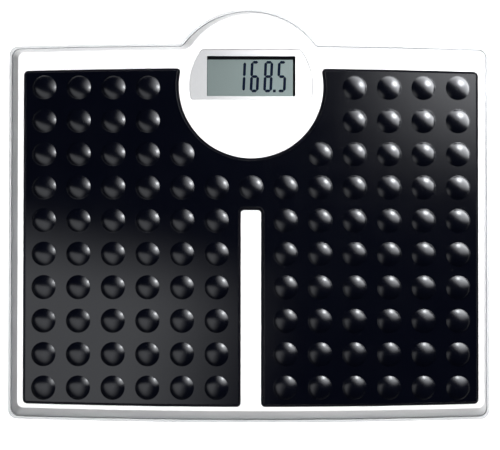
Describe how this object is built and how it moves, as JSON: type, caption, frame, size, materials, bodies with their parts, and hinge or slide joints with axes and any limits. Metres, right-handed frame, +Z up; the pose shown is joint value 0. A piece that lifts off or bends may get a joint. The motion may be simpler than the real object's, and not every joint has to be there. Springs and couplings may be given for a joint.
{
  "type": "bathroom scale",
  "caption": "Flat electronic bathroom scale: white platform with a black domed rubber mat, a round display pod at the rear edge and load cell feet.",
  "frame": {"origin": "middle of the footprint, on the floor under the feet", "axes": "+X to the right as one stands on it and reads the display, +Y towards the display at the rear, +Z up"},
  "size_m": [0.433, 0.373, 0.047],
  "materials": {
    "white_plastic": "satin gloss moulded plastic",
    "tray_plastic": "fine moulded texture",
    "mat_rubber": "smooth, slightly glossy",
    "foot_rubber": "matt",
    "silver_mask": "silver paint, brushed look",
    "clear_lens": "clear",
    "lcd_glass": "grey-green liquid crystal behind polished glass",
    "frame_plastic": "plain",
    "strip_rubber": "matt",
    "circuit_board": "solder mask",
    "black_plastic": "plain",
    "can_blue": "sleeve",
    "steel": "plain",
    "contact_metal": "nickel plated",
    "carrier_plastic": "plain",
    "cable_grey": "jacket",
    "lead_red": "jacket",
    "lead_black": "jacket",
    "battery_label": "plain sleeve",
    "rating_silver": "plain silver film, left bare"
  },
  "bodies": {
    "case": {"platform_cover": "white_plastic", "base_tray": "tray_plastic", "grip_mat": "mat_rubber", "stiffener_plate": "steel", "display_lens": "clear_lens", "display_mask": "silver_mask", "lcd_panel": "lcd_glass", "lcd_frame": "frame_plastic", "lcd_connector": "strip_rubber", "display_board": "circuit_board", "controller_chip": "black_plastic", "board_capacitor": "can_blue", "tap_sensor": "steel", "unit_switch_body": "black_plastic", "rating_plate": "rating_silver", "battery_lead_negative": "lead_black", "battery_lead_positive": "lead_red", "load_cell_front_left": "steel", "cell_carrier_front_left": "carrier_plastic", "cell_cable_front_left": "cable_grey", "load_cell_front_right": "steel", "cell_carrier_front_right": "carrier_plastic", "cell_cable_front_right": "cable_grey", "load_cell_rear_left": "steel", "cell_carrier_rear_left": "carrier_plastic", "cell_cable_rear_left": "cable_grey", "load_cell_rear_right": "steel", "cell_carrier_rear_right": "carrier_plastic", "cell_cable_rear_right": "cable_grey", "battery_1": "battery_label", "board_screw_1": "steel", "battery_2": "battery_label", "board_screw_2": "steel", "battery_3": "battery_label", "board_screw_3": "steel", "battery_4": "battery_label", "board_screw_4": "steel", "contact_negative": "contact_metal", "contact_positive": "contact_metal", "contact_link_1": "contact_metal", "contact_link_2": "contact_metal", "contact_link_3": "contact_metal", "case_screw_1": "steel", "case_screw_2": "steel", "case_screw_3": "steel", "case_screw_4": "steel", "case_screw_5": "steel", "case_screw_6": "steel"},
    "foot_front_left": {"foot_cup_front_left": "tray_plastic", "foot_pad_front_left": "foot_rubber"},
    "foot_front_right": {"foot_cup_front_right": "tray_plastic", "foot_pad_front_right": "foot_rubber"},
    "foot_rear_left": {"foot_cup_rear_left": "tray_plastic", "foot_pad_rear_left": "foot_rubber"},
    "foot_rear_right": {"foot_cup_rear_right": "tray_plastic", "foot_pad_rear_right": "foot_rubber"},
    "door": {"battery_door": "tray_plastic"},
    "knob": {"unit_switch_knob": "white_plastic"}
  },
  "joints": [
    {"name": "foot_front_left_press", "type": "slide", "parent": "case", "child": "foot_front_left", "axis": [0, 0, 1], "range_m": [0, 0.00025], "stiffness_N_per_m": 2000, "springref_m": -0.004},
    {"name": "foot_front_right_press", "type": "slide", "parent": "case", "child": "foot_front_right", "axis": [0, 0, 1], "range_m": [0, 0.00025], "stiffness_N_per_m": 2000, "springref_m": -0.004},
    {"name": "foot_rear_left_press", "type": "slide", "parent": "case", "child": "foot_rear_left", "axis": [0, 0, 1], "range_m": [0, 0.00025], "stiffness_N_per_m": 2000, "springref_m": -0.004},
    {"name": "foot_rear_right_press", "type": "slide", "parent": "case", "child": "foot_rear_right", "axis": [0, 0, 1], "range_m": [0, 0.00025], "stiffness_N_per_m": 2000, "springref_m": -0.004},
    {"name": "door_hinge", "type": "hinge", "parent": "case", "child": "door", "pos_m": [0, -0.031, 0.0102], "axis": [-1, 0, 0], "range_deg": [0, 90]},
    {"name": "unit_slide", "type": "slide", "parent": "case", "child": "knob", "axis": [1, 0, 0], "range_m": [0, 0.004]}
  ]
}
